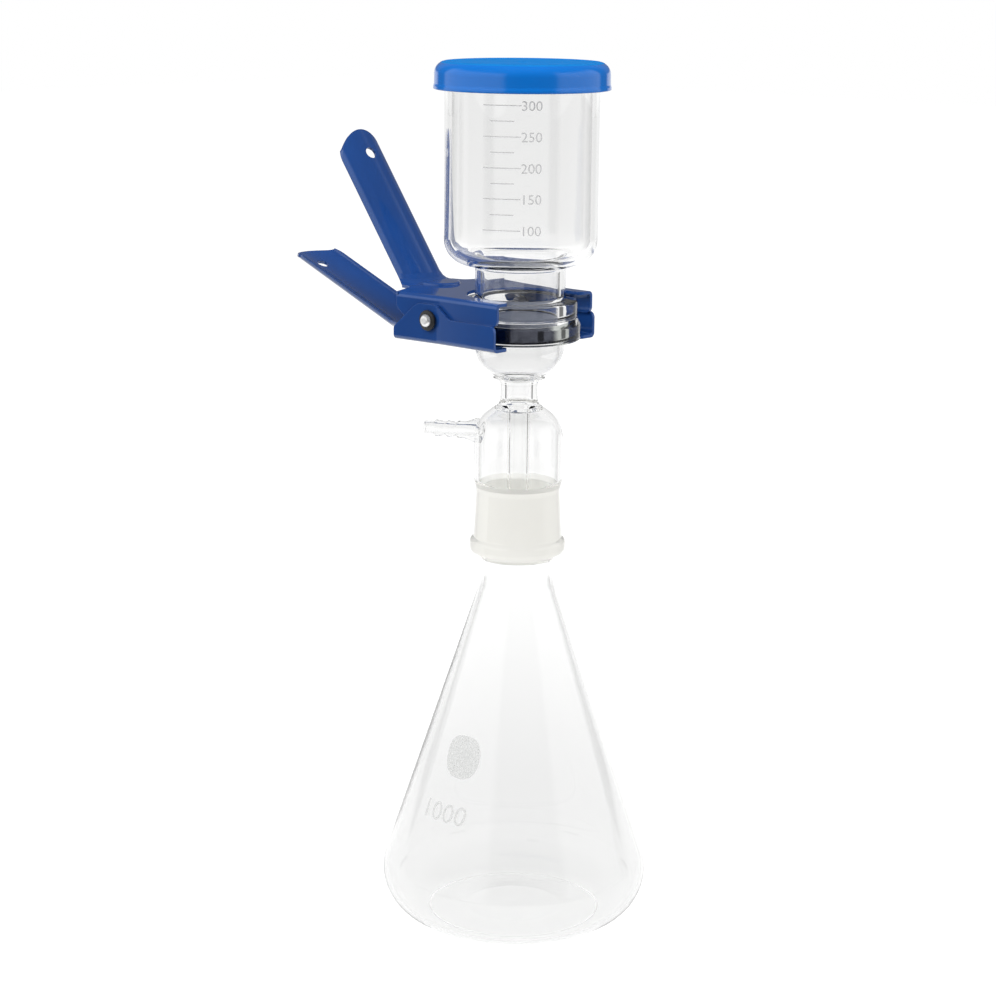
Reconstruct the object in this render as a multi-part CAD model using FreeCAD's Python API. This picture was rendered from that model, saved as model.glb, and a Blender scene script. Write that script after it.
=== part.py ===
import FreeCAD, Part
import math
import os

# Vacuum filtration unit: conical flask, ground-joint filter head with a sintered disc,
# measuring funnel with a loose cap, and the spring clamp round the flanges.
# Frame: origin in the middle of the flask's base on the table, +Z up, the clamp's handles
# towards -X and its jaws open towards +X. All sizes in millimetres.

os.makedirs("parts", exist_ok=True)
V = FreeCAD.Vector

# --- flask ---------------------------------------------------------------
flaskRadius = 65.5
flaskHeelRadius = 23.5          # round heel between base and cone
flaskConeSlope = 0.3316         # radius lost per mm of height
flaskWall = 2.0
flaskFloor = 3.5
neckOuterRadius = 17.8
neckInnerRadius = 15.6
flaskRimZ = 218.6
flaskBaseTopZ = 26.0            # base and heel below this, cone above
flaskConeTopZ = 160.0           # cone below this, neck and ground joint above

# --- ground joint: the flask's cone fits inside the head's socket -----------
jointBottomZ = 184.5
jointBottomRadius = 19.2
jointTopRadius = 17.5
jointGap = 0.05                 # film between the two ground faces
socketBottomZ = 184.8
socketTopZ = 217.2

# --- filter head ------------------------------------------------------------
socketBeadRadius = 23.3
socketBeadTopZ = 193.0
socketWallRadius = 21.4         # above the bead
socketWallTopRadius = 20.2
bellOuterRadius = 21.35
bellWall = 2.0
bellBottomZ = 220.0
shoulderStartZ = 250.3
shoulderEndZ = 259.3
stemOuterRadius = 9.1
stemBoreRadius = 6.0
stemBoreEndZ = 261.5
seamZ = 262.5                   # stem joins the bell
bellCeilingZ = 255.5
bellCeilingRadius = 10.5
dripTubeOuterRadius = 5.6
dripTubeTipRadius = 5.1
dripTubeBoreRadius = 4.1
dripTubeTipZ = 196.0
dripTubeTopZ = 253.5
cupBottomZ = 271.7
cupOuterRadius = 21.3
cupWall = 1.9
baseFlangeRadius = 29.1
baseFlangeBottomZ = 290.5
baseFlangeEdgeZ = 298.1
baseFlangeTopRadius = 27.3
sealFaceZ = 301.2               # ground faces of head and funnel meet here

# --- sintered disc -------------------------------------------------------------
discRadius = 19.95
discThickness = 4.2
discSeatRadius = 20.0

# --- hose barb on the bell --------------------------------------------------------
barbAxisZ = 244.2
barbHeading = 206.0             # degrees round +Z from +X
barbTipReach = 47.7             # from the bell's axis
barbRootRadius = 6.4
barbLandRadius = 4.25           # plain stretch behind the ridges
barbLandStart = 26.2
barbRidgeReaches = (30.4, 35.6, 41.6)
barbRidgeRadius = 4.15
barbCoreRadius = 3.45
barbTipRadius = 3.2
barbBoreRadius = 2.3

# --- funnel ---------------------------------------------------------------------
funnelOuterRadius = 36.4
funnelInnerRadius = 33.4
funnelThroatRadius = 18.3
funnelNeckRadius = 21.6
funnelFlangeRadius = 27.5
funnelFlangeTopZ = 309.6
funnelUndersideZ = 326.0
funnelShoulderRadius = 12.0
funnelFloorWallZ = 331.5        # floor height at the wall
funnelFloorThroatZ = 328.0      # floor height at the throat
funnelRimRadius = 39.3
funnelRimZ = 419.3
funnelRimHeight = 4.8

# --- cap -------------------------------------------------------------------------
capRadius = 41.75
capTopRadius = 41.3
capBottomZ = 408.0
capTopZ = 421.0
capInnerRadius = 40.1
capInnerTopZ = 419.5
capEdgeRadius = 5.7

# --- clamp -----------------------------------------------------------------------
sheet = 1.5
pivotX = -25.2
pivotZ = 300.3
lowerPlateBottomZ = 289.0
upperPlateTopZ = 311.8
lowerHalfWidth = 36.0           # outer faces of the lower lever's jaw walls
upperHalfWidth = 34.0           # the upper lever nests inside, 0.5 clear
earFlare = 1.6                  # each ear stands this much wider at its back end
creaseX = -20.5                 # jaw walls end and ears begin
earBackX = -47.5
jawX = 16.3                     # jaw tips
jawSlotRadius = 25.5
jawTipRounding = 2.5
bendRadius = 2.4
lowerWallTopZ = 301.5           # the levers' jaw walls meet on this line
upperWallBottomZ = 300.9
jawCornerRadius = 3.0
earLobeHeight = 7.5             # ear beyond the pivot
earLobeBackX = -33.0
earLobeFrontX = -21.0
lobeRootX = -12.5
earLobeRadius = 7.0
upperEarBackZ = 304.5           # where each ear's back edge ends, leaving a notch between
lowerEarBackZ = 295.2

handleHalfWidth = 13.75
handleHoleRadius = 3.0
handleHoleFromTip = 13.8
upperHandleAngle = 54.0         # above the horizontal
upperHandleDepth = 9.2          # of the trough, measured level
upperCrestX = -56.8             # crest line meets the plate's top here
upperHandleLength = 88.7        # along the crest line, plate to tip
rootFilletHeight = 4.5
rootFilletReach = 3.0
beadHalfWidth = 9.0             # stiffening bead in front of the handle's root
beadFrontX = -42.5
beadHeight = 1.2
shoulderX = -54.0
shoulderHalfWidth = 18.5
lowerHandleAngle = 22.3
lowerHandleDepth = 6.0
lowerHandleStartX = -74.0       # underside of the handle where it turns straight
lowerHandleStartZ = 286.4
lowerHandleTipX = -149.8
# the lower handle's root, as (x, half-width, depth, underside z)
lowerRootSections = (
    (earBackX + 1, 34.5, 1.8, lowerPlateBottomZ + 0.25),
    (-56, 24, 3.2, 288.0),
    (-66, 15.8, 5.0, 286.7))

# --- pivot rivets, retaining rings and torsion springs, one set to each side --------
rivetRadius = 3.0
rivetRunningGap = 0.08
rivetHeadRadius = 4.2
rivetHeadY = 21.5               # inner end, clear of the flanges
rivetHeadThickness = 1.2
rivetEndY = 40.0
rivetDome = 1.6
ringInnerFaceY = 36.75
ringThickness = 1.1
ringRadius = 4.9
ringDish = 0.5
springWire = 0.8
springCoilRadius = 4.7
springPitch = 1.75
springTurns = 3.5
springStartY = 24.4
springBendSwell = 0.1           # where a leg leaves the coil
springLegEndX = -43.0
leverClearance = 0.4            # upper legs stand off the moving lever


# --- drawing helpers -------------------------------------------------------------
def roundedEdges(corners):
    """Edges of a closed outline in the XZ plane. A corner is (x, z) or (x, z, radius)."""
    count = len(corners)
    points = [V(c[0], 0, c[1]) for c in corners]
    radii = [c[2] if len(c) > 2 else 0 for c in corners]
    starts, middles, ends = [], [], []
    for i in range(count):
        here = points[i]
        if radii[i] == 0:
            starts.append(here)
            middles.append(None)
            ends.append(here)
            continue
        back = (points[i - 1] - here).normalize()
        ahead = (points[(i + 1) % count] - here).normalize()
        half = back.getAngle(ahead) / 2
        reach = radii[i] / math.tan(half)
        centre = here + (back + ahead).normalize() * (radii[i] / math.sin(half))
        starts.append(here + back * reach)
        middles.append(centre + (here - centre).normalize() * radii[i])
        ends.append(here + ahead * reach)
    edges = []
    for i in range(count):
        if middles[i] is not None:
            edges.append(Part.Arc(starts[i], middles[i], ends[i]).toShape())
        following = starts[(i + 1) % count]
        if (following - ends[i]).Length > 1e-6:
            edges.append(Part.LineSegment(ends[i], following).toShape())
    return edges


def outlineFace(corners):
    return Part.Face(Part.Wire(roundedEdges(corners)))


def turned(corners):
    """Solid of revolution round Z from a half section given as (radius, z) corners."""
    return outlineFace(corners).revolve(V(0, 0, 0), V(0, 0, 1), 360)


def sidePrism(corners, halfWidth):
    """Side outline in XZ, carried across from -halfWidth to +halfWidth in Y."""
    face = outlineFace(corners)
    face.translate(V(0, -halfWidth, 0))
    return face.extrude(V(0, 2 * halfWidth, 0))


def planPrism(corners, bottomZ, topZ):
    """Plan outline in XY, given as (x, y) corners, carried up from bottomZ to topZ."""
    face = outlineFace(corners)
    face.rotate(V(0, 0, 0), V(1, 0, 0), -90)
    face.translate(V(0, 0, bottomZ))
    return face.extrude(V(0, 0, topZ - bottomZ))


def crossBar(radius, x, z, halfLength):
    return Part.makeCylinder(radius, 2 * halfLength, V(x, -halfLength, z), V(0, 1, 0))


def save(shape, node):
    shape = shape.removeSplitter()
    assert shape.isValid(), node
    shape.exportStep("parts/" + node + ".step")
    box = shape.BoundBox
    print("%-22s solids %d  volume %9.1f  x %.1f..%.1f  y %.1f..%.1f  z %.1f..%.1f" % (
        node, len(shape.Solids), shape.Volume,
        box.XMin, box.XMax, box.YMin, box.YMax, box.ZMin, box.ZMax))
    return shape


# --- flask -----------------------------------------------------------------------
def jointRadius(z):
    taper = (jointBottomRadius - jointTopRadius) / (flaskRimZ - jointBottomZ)
    return jointBottomRadius - taper * (z - jointBottomZ)


def makeFlask():
    """The flask's three stretches, one blown piece: base with heel, cone, and neck."""
    slopeAngle = math.atan(flaskConeSlope)
    heelReach = flaskHeelRadius / math.tan((math.pi / 2 - slopeAngle) / 2)
    footRadius = flaskRadius - flaskHeelRadius
    cornerRadius = footRadius + heelReach                   # cone line carried down to the table
    innerCorner = cornerRadius - flaskWall / math.cos(slopeAngle)
    whole = turned([
        (0, 0),
        (cornerRadius, 0, flaskHeelRadius),
        (neckOuterRadius, (cornerRadius - neckOuterRadius) / flaskConeSlope, 30),
        (neckOuterRadius, jointBottomZ - 1.5, 1),
        (jointBottomRadius, jointBottomZ, 0.5),
        (jointTopRadius, flaskRimZ, 0.8),
        (neckInnerRadius, flaskRimZ, 0.8),
        (neckInnerRadius, (innerCorner - neckInnerRadius) / flaskConeSlope, 28),
        (innerCorner - flaskConeSlope * flaskFloor, flaskFloor, flaskHeelRadius - 2.5),
        (0, flaskFloor)])
    aboveBase = Part.makeCylinder(90, 300, V(0, 0, flaskBaseTopZ))
    aboveCone = Part.makeCylinder(90, 300, V(0, 0, flaskConeTopZ))
    return {
        "flask_base": whole.cut(aboveBase),
        "flask_cone": whole.common(aboveBase).cut(aboveCone),
        "flask_neck": whole.common(aboveCone)}


# --- filter head -----------------------------------------------------------------
def headBody():
    """Bell with its socket, drip tube, stem and cup, turned in one."""
    socketFaceBottom = jointRadius(socketBottomZ) + jointGap
    socketFaceTop = jointRadius(socketTopZ) + jointGap
    bellInnerRadius = bellOuterRadius - bellWall
    return turned([
        (socketFaceBottom, socketBottomZ, 0.8),
        (socketBeadRadius, socketBottomZ, 3.2),
        (socketBeadRadius, socketBeadTopZ, 3),
        (socketWallRadius, socketBeadTopZ + 1.3, 1),
        (socketWallTopRadius, socketTopZ, 2),
        (bellOuterRadius, bellBottomZ, 2),
        (bellOuterRadius, shoulderStartZ, 15),
        (stemOuterRadius, shoulderEndZ, 4),
        (stemOuterRadius, cupBottomZ, 3),
        (cupOuterRadius, cupBottomZ, 15.5),
        (cupOuterRadius, baseFlangeBottomZ, 1.5),
        (baseFlangeRadius, baseFlangeBottomZ, 1.2),
        (baseFlangeRadius, baseFlangeEdgeZ, 0.6),
        (baseFlangeTopRadius, sealFaceZ, 0.3),
        (discSeatRadius, sealFaceZ),
        (discSeatRadius, sealFaceZ - discThickness),
        (cupOuterRadius - cupWall, sealFaceZ - discThickness),
        (cupOuterRadius - cupWall, cupBottomZ + cupWall, 13.6),
        (stemBoreRadius, cupBottomZ + cupWall, 2),
        (stemBoreRadius, stemBoreEndZ, 2),
        (dripTubeBoreRadius, bellCeilingZ + 1.0, 2),
        (dripTubeBoreRadius, dripTubeTipZ),
        (dripTubeTipRadius, dripTubeTipZ, 0.4),
        (dripTubeOuterRadius, bellCeilingZ, 1.2),
        (bellCeilingRadius, bellCeilingZ, 2),
        (bellInnerRadius, shoulderStartZ - 1.0, 12),
        (bellInnerRadius, bellBottomZ + 0.6, 1.5),
        (socketFaceTop, socketTopZ + 1.2, 0.6)])


def makeHead():
    """The head's four fused pieces, divided where the glass was joined."""
    barb = turned(barbSection())
    bore = Part.makeCylinder(barbBoreRadius, barbTipReach - 11, V(0, 0, 12))
    for piece in (barb, bore):
        piece.rotate(V(0, 0, 0), V(0, 1, 0), 90)
        piece.rotate(V(0, 0, 0), V(0, 0, 1), barbHeading)
        piece.translate(V(0, 0, barbAxisZ))
    body = headBody().cut(bore)
    aboveSeam = Part.makeCylinder(60, 60, V(0, 0, seamZ))
    roundTube = Part.makeCylinder(barbBoreRadius + dripTubeOuterRadius, dripTubeTopZ - dripTubeTipZ + 5,
                                  V(0, 0, dripTubeTipZ - 5))
    bellFilled = turned([
        (0, bellBottomZ), (bellOuterRadius, bellBottomZ),
        (bellOuterRadius, shoulderStartZ, 15),
        (stemOuterRadius, shoulderEndZ, 4),
        (stemOuterRadius, seamZ), (0, seamZ)])
    return {
        "filter_cup": body.common(aboveSeam),
        "drip_tube": body.common(roundTube),
        "filter_bell": body.cut(aboveSeam).cut(roundTube),
        "side_arm": barb.cut(bellFilled).cut(bore)}


def barbSection():
    """Half section of the barb, drawn along its own axis from the bell outwards."""
    rootReach = bellOuterRadius - 6
    corners = [(0, rootReach), (barbRootRadius, rootReach),
               (barbRootRadius - 0.4, bellOuterRadius + 0.4, 1.5),
               (barbLandRadius, barbLandStart, 3), (barbLandRadius, barbRidgeReaches[0], 0.4)]
    for reach in barbRidgeReaches[1:]:
        corners.append((barbCoreRadius, corners[-1][1] + 1.0, 0.8))
        corners.append((barbRidgeRadius, reach, 0.5))
    corners.append((barbCoreRadius, barbRidgeReaches[-1] + 1.0, 0.8))
    corners.append((barbTipRadius, barbTipReach, 0.5))
    corners.append((0, barbTipReach))
    return corners


def makeDisc():
    return turned([
        (0, sealFaceZ - discThickness),
        (discRadius, sealFaceZ - discThickness, 0.3),
        (discRadius, sealFaceZ, 0.3),
        (0, sealFaceZ)])


# --- funnel and cap --------------------------------------------------------------
def makeFunnel():
    return turned([
        (funnelThroatRadius, sealFaceZ, 0.3),
        (funnelFlangeRadius, sealFaceZ, 0.8),
        (funnelFlangeRadius, funnelFlangeTopZ, 1.2),
        (funnelNeckRadius, funnelFlangeTopZ, 2),
        (funnelNeckRadius, funnelUndersideZ, 2.5),
        (funnelOuterRadius, funnelUndersideZ, funnelShoulderRadius),
        (funnelOuterRadius, funnelRimZ - funnelRimHeight - 1.2, 1.2),
        (funnelRimRadius, funnelRimZ - funnelRimHeight, 1.2),
        (funnelRimRadius, funnelRimZ, 1.8),
        (funnelInnerRadius, funnelRimZ, 1.5),
        (funnelInnerRadius, funnelFloorWallZ, 9),
        (funnelThroatRadius, funnelFloorThroatZ, 4)])


def makeCap():
    return turned([
        (0, capInnerTopZ),
        (capInnerRadius - 0.2, capInnerTopZ, 2.2),
        (capInnerRadius, capBottomZ, 0.5),
        (capRadius, capBottomZ, 0.6),
        (capTopRadius, capTopZ, capEdgeRadius),
        (0, capTopZ)])


# --- clamp levers ----------------------------------------------------------------
def leverChannel(halfWidth, bentZ, openZ):
    """Sheet channel of one lever: a plate with a wall down each side, flared at the ears.
    The plate's outer face is at bentZ and its walls run to openZ."""
    flared = halfWidth + earFlare
    outline = [(jawX, -halfWidth), (jawX, halfWidth), (creaseX, halfWidth),
               (earBackX, flared), (earBackX, -flared), (creaseX, -halfWidth)]
    outer = planPrism(outline, min(bentZ, openZ), max(bentZ, openZ))
    outer = outer.makeFillet(bendRadius, longEdges(outer, bentZ))
    beyond = 5
    towardsOpen = 1 if openZ > bentZ else -1
    plateInnerZ = bentZ + towardsOpen * sheet
    farZ = openZ + towardsOpen * beyond
    backY = flared - sheet + beyond * earFlare / (creaseX - earBackX)
    innerY = halfWidth - sheet
    outline = [(jawX + beyond, -innerY), (jawX + beyond, innerY), (creaseX, innerY),
               (earBackX - beyond, backY), (earBackX - beyond, -backY), (creaseX, -innerY)]
    inner = planPrism(outline, min(plateInnerZ, farZ), max(plateInnerZ, farZ))
    inner = inner.makeFillet(bendRadius - sheet, longEdges(inner, plateInnerZ))
    return outer.cut(inner)


def longEdges(shape, z):
    """The four edges that run along both sides of a lever at height z."""
    found = []
    for edge in shape.Edges:
        box = edge.BoundBox
        if box.ZLength < 0.01 and abs(box.ZMin - z) < 0.01 and box.XLength > 10:
            found.append(edge)
    return found


def jawSlot(bottomZ, topZ):
    """U-shaped way into the fork, round the flange's neck."""
    height = topZ - bottomZ
    slot = Part.makeCylinder(jawSlotRadius, height, V(0, 0, bottomZ))
    return slot.fuse(Part.makeBox(jawX + 10, 2 * jawSlotRadius, height,
                                  V(0, -jawSlotRadius, bottomZ)))


def roundJawTips(lever):
    def isTip(edge):
        box = edge.BoundBox
        onEnd = abs(box.XMin - jawX) < 0.01 and abs(box.XMax - jawX) < 0.01
        onSlot = abs(abs(box.YMin) - jawSlotRadius) < 0.01 and box.YLength < 0.01
        return onEnd and onSlot and abs(box.ZLength - sheet) < 0.1
    return lever.makeFillet(jawTipRounding, [edge for edge in lever.Edges if isTip(edge)])


def halfEllipse(across, deep):
    """Half ellipse in the XY plane, bulging towards +X from its flat side on the Y axis."""
    if deep > across:
        ellipse = Part.Ellipse(V(0, 0, 0), deep, across)
        return Part.ArcOfEllipse(ellipse, -math.pi / 2, math.pi / 2).toShape()
    ellipse = Part.Ellipse(V(0, 0, 0), across, deep)
    arc = Part.ArcOfEllipse(ellipse, math.pi, 2 * math.pi).toShape()
    arc.rotate(V(0, 0, 0), V(0, 0, 1), 90)
    return arc


def troughWire(halfWidth, depth, centre, crestAngle):
    """Closed section of a half-tube of sheet. The middle between its rims is at centre
    (x, z) and its crest points crestAngle degrees from +X up to +Z."""
    innerWidth = halfWidth - sheet
    rims = [Part.LineSegment(V(0, side * halfWidth, 0), V(0, side * innerWidth, 0)).toShape()
            for side in (1, -1)]
    outer = halfEllipse(halfWidth, depth)
    inner = halfEllipse(innerWidth, depth - sheet)
    wire = Part.Wire(Part.__sortEdges__([outer, rims[0], inner, rims[1]]))
    wire.rotate(V(0, 0, 0), V(0, 1, 0), -crestAngle)
    wire.translate(V(centre[0], 0, centre[1]))
    return wire


def handleTool(shape, startX, startZ, angle):
    """Lay a tool drawn along +X onto a handle that leaves (startX, startZ) towards -X,
    angle degrees above the horizontal."""
    shape.rotate(V(0, 0, 0), V(0, 1, 0), 180 + angle)
    shape.translate(V(startX, 0, startZ))
    return shape


def tongue(length):
    """Slab that trims a handle to its plan form, with a full-round tip."""
    depth = 60
    tipCentre = length - handleHalfWidth
    slab = Part.makeBox(tipCentre + 60, 80, depth, V(-60, -40, -depth / 2))
    return slab.fuse(Part.makeCylinder(handleHalfWidth + 0.02, depth, V(tipCentre, 0, -depth / 2)))


def hangHole(length):
    return Part.makeCylinder(handleHoleRadius, 60, V(length - handleHoleFromTip, 0, -30))


def makeUpperLever():
    plateInnerZ = upperPlateTopZ - sheet
    lobeZ = pivotZ - earLobeHeight
    lever = leverChannel(upperHalfWidth, upperPlateTopZ, pivotZ - 12)
    lever = lever.common(sidePrism([
        (jawX, upperPlateTopZ + 5),
        (jawX, upperWallBottomZ, jawCornerRadius),
        (lobeRootX, upperWallBottomZ, 5),
        (earLobeFrontX, lobeZ, earLobeRadius),
        (earLobeBackX, lobeZ, earLobeRadius),
        (earBackX, upperEarBackZ, 2),
        (earBackX, upperPlateTopZ + 5)], 60))
    lever = lever.cut(jawSlot(pivotZ, upperPlateTopZ + 5))
    lever = roundJawTips(lever)
    lever = lever.cut(crossBar(rivetRadius + rivetRunningGap, pivotX, pivotZ, 60))

    angle = math.radians(upperHandleAngle)
    along = V(-math.cos(angle), 0, math.sin(angle))
    rimX = upperCrestX - upperHandleDepth

    def levelSection(height, spread):
        """The handle's trough cut level, height above the plate and spread wider."""
        sectionX = rimX + spread - height / math.tan(angle)
        return troughWire(handleHalfWidth + spread, upperHandleDepth,
                          (sectionX, upperPlateTopZ + height), 0)

    root = Part.makeLoft([
        levelSection(-sheet, rootFilletReach),
        levelSection(0, rootFilletReach),
        levelSection(0.18 * rootFilletHeight, 0.42 * rootFilletReach),
        levelSection(0.48 * rootFilletHeight, 0.13 * rootFilletReach),
        levelSection(rootFilletHeight, 0)], True, True)
    rod = Part.Face(levelSection(rootFilletHeight, 0)).extrude(along * (upperHandleLength + 5))
    rod = rod.common(handleTool(tongue(upperHandleLength), upperCrestX, upperPlateTopZ,
                                upperHandleAngle))
    earY = upperHalfWidth + earFlare
    rootY = handleHalfWidth + rootFilletReach
    hollowX = rimX + rootFilletReach
    plate = planPrism([
        (earBackX + 1, -earY), (earBackX + 1, earY), (earBackX, earY),
        (shoulderX, shoulderHalfWidth, 6), (hollowX, rootY, 1),
        (hollowX, -rootY, 1), (shoulderX, -shoulderHalfWidth, 6), (earBackX, -earY)],
        plateInnerZ, upperPlateTopZ)
    bead = planPrism([
        (hollowX, -beadHalfWidth), (beadFrontX, -beadHalfWidth, beadHalfWidth - 0.01),
        (beadFrontX, beadHalfWidth, beadHalfWidth - 0.01), (hollowX, beadHalfWidth)],
        plateInnerZ, upperPlateTopZ + beadHeight)
    topEdges = [edge for edge in bead.Edges
                if edge.BoundBox.ZMin > upperPlateTopZ and edge.BoundBox.XLength > 1]
    bead = bead.makeFillet(beadHeight - 0.1, topEdges)
    hollow = Part.Face(Part.Wire([
        halfEllipse(rootY - sheet, upperHandleDepth - sheet),
        Part.LineSegment(V(0, rootY - sheet, 0), V(0, sheet - rootY, 0)).toShape()]))
    hollow.translate(V(hollowX, 0, plateInnerZ - 1))
    hollow = hollow.extrude(V(0, 0, sheet + beadHeight + 2))
    lever = lever.fuse(plate).fuse(bead).cut(hollow).fuse(root).fuse(rod)
    return lever.cut(handleTool(hangHole(upperHandleLength), upperCrestX, upperPlateTopZ,
                                upperHandleAngle))


def makeLowerLever():
    lobeZ = pivotZ + earLobeHeight
    lever = leverChannel(lowerHalfWidth, lowerPlateBottomZ, pivotZ + 12)
    lever = lever.common(sidePrism([
        (jawX, lowerPlateBottomZ - 5),
        (jawX, lowerWallTopZ, jawCornerRadius),
        (lobeRootX, lowerWallTopZ, 5),
        (earLobeFrontX, lobeZ, earLobeRadius),
        (earLobeBackX, lobeZ, earLobeRadius),
        (earBackX, lowerEarBackZ, 3),
        (earBackX, lowerPlateBottomZ - 5)], 60))
    lever = lever.cut(jawSlot(lowerPlateBottomZ - 5, pivotZ))
    lever = roundJawTips(lever)
    lever = lever.cut(crossBar(rivetRadius, pivotX, pivotZ, 60))

    angle = math.radians(lowerHandleAngle)
    along = V(-math.cos(angle), 0, math.sin(angle))
    inward = V(math.sin(angle), 0, math.cos(angle))
    length = (lowerHandleStartX - lowerHandleTipX) / math.cos(angle)
    start = V(lowerHandleStartX, 0, lowerHandleStartZ) + along * 2
    rim = start + inward * lowerHandleDepth

    def rootSection(x, halfWidth, depth, bottomZ):
        return troughWire(halfWidth, depth, (x, bottomZ + depth), -90)

    straight = troughWire(handleHalfWidth, lowerHandleDepth, (rim.x, rim.z), -90 - lowerHandleAngle)
    sections = [rootSection(*values) for values in lowerRootSections]
    root = Part.makeLoft(sections + [straight], True, True)
    rod = Part.Face(straight).extrude(along * (length + 15))
    rod = rod.common(handleTool(tongue(length), lowerHandleStartX, lowerHandleStartZ,
                                lowerHandleAngle))
    lever = lever.fuse(root).fuse(rod)
    return lever.cut(handleTool(hangHole(length), lowerHandleStartX, lowerHandleStartZ,
                                lowerHandleAngle))


# --- pivot hardware, drawn for the +Y side and mirrored for the other -----------------
def toSide(shape, side):
    return shape if side > 0 else shape.mirror(V(0, 0, 0), V(0, 1, 0))


def makeRivet(side):
    rivet = turned([
        (0, rivetHeadY), (rivetHeadRadius, rivetHeadY, 0.5),
        (rivetHeadRadius, rivetHeadY + rivetHeadThickness), (rivetRadius, rivetHeadY + rivetHeadThickness),
        (rivetRadius, rivetEndY, rivetDome), (0, rivetEndY)])
    return toSide(ontoPivot(rivet), side)


def makeRing(side):
    """Push-on retaining ring: a dished washer gripping the rivet outside the ears."""
    innerZ = ringInnerFaceY
    ring = turned([
        (rivetRadius, innerZ + ringDish), (ringRadius, innerZ, 0.2),
        (ringRadius, innerZ + ringThickness, 0.4), (rivetRadius, innerZ + ringThickness + ringDish)])
    return toSide(ontoPivot(ring), side)


def ontoPivot(shape):
    shape.rotate(V(0, 0, 0), V(1, 0, 0), -90)
    shape.translate(V(pivotX, 0, pivotZ))
    return shape


def makeSpring(side):
    """Torsion spring on the rivet; its legs press the two levers' plates apart behind it."""
    length = springPitch * springTurns
    leftHanded = True
    helix = Part.makeHelix(springPitch, length, springCoilRadius, 0, leftHanded)
    section = Part.Wire(Part.Circle(V(springCoilRadius, 0, 0), V(0, 1, 0), springWire).toShape())
    coil = Part.Wire(helix).makePipeShell([section], True, True)
    coil.rotate(V(0, 0, 0), V(0, 0, 1), 90)
    coil.translate(V(0, 0, springStartY))
    ontoPivot(coil)
    legs = (springLeg(springStartY, pivotZ - springCoilRadius,
                      lowerPlateBottomZ + sheet + springWire)
            + springLeg(springStartY + length, pivotZ + springCoilRadius,
                        upperPlateTopZ - sheet - springWire - leverClearance))
    return toSide(coil.multiFuse(legs), side)


def springLeg(y, startZ, endZ):
    start = V(pivotX, y, startZ)
    end = V(springLegEndX, y, endZ)
    wire = Part.makeCylinder(springWire, (end - start).Length, start, end - start)
    return [wire, Part.makeSphere(springWire + springBendSwell, start, end - start)]


for node, shape in {**makeFlask(), **makeHead()}.items():
    save(shape, node)
save(makeDisc(), "sintered_disc")
save(makeFunnel(), "funnel")
save(makeCap(), "cap")
save(makeUpperLever(), "upper_lever")
save(makeLowerLever(), "lower_lever")
for side, name in ((-1, "front"), (1, "back")):
    save(makeRivet(side), "rivet_" + name)
    save(makeRing(side), "retaining_ring_" + name)
    save(makeSpring(side), "torsion_spring_" + name)
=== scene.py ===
import bpy
import bmesh
from math import atan, ceil, cos, degrees, pi, radians, sin, tan
from mathutils import Matrix, Vector


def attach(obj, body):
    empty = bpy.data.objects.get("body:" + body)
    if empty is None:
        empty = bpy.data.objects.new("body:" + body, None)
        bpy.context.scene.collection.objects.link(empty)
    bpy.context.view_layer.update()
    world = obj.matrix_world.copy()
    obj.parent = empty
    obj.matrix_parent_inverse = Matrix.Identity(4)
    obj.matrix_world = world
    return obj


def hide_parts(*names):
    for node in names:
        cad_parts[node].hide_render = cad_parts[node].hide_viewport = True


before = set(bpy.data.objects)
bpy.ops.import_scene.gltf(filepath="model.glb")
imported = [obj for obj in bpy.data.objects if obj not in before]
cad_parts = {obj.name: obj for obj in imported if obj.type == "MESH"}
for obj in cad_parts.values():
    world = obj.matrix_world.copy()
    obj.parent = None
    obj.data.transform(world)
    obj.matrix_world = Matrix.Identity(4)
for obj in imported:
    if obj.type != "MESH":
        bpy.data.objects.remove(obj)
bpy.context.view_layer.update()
mm = 0.001
scene = bpy.context.scene
print("frame loaded with", len(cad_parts), "CAD nodes")


# ---- small helpers for node trees
def add(tree, kind, inputs=None, **settings):
    node = tree.nodes.new("ShaderNode" + kind)
    for key, value in settings.items():
        setattr(node, key, value)
    for key, value in (inputs or {}).items():
        if isinstance(value, bpy.types.NodeSocket):
            tree.links.new(value, node.inputs[key])
        else:
            node.inputs[key].default_value = value
    return node


def calc(tree, operation, *values):
    return add(tree, "Math", dict(enumerate(values)), operation=operation).outputs[0]


def ranged(tree, value, fromMin, fromMax, toMin, toMax):
    node = add(tree, "MapRange", {
        "Value": value, "From Min": fromMin, "From Max": fromMax, "To Min": toMin, "To Max": toMax},
        interpolation_type="SMOOTHSTEP")
    return node.outputs[0]


def blendNumbers(tree, share, a, b):
    return add(tree, "Mix", {"Factor": share, 2: a, 3: b}).outputs[0]


def blendColours(tree, share, a, b):
    return add(tree, "Mix", {"Factor": share, 6: a, 7: b}, data_type="RGBA").outputs[2]


def noiseAt(tree, place, scale, detail):
    return add(tree, "TexNoise", {"Vector": place, "Scale": scale, "Detail": detail}).outputs[0]


def newFinish(name):
    mat = bpy.data.materials.new(name)
    mat.use_nodes = True
    mat.node_tree.nodes.clear()
    return mat, mat.node_tree


def surfaceOut(tree, shader):
    add(tree, "OutputMaterial", {"Surface": shader})


def placed(name, data):
    obj = bpy.data.objects.new(name, data)
    scene.collection.objects.link(obj)
    return obj


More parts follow.
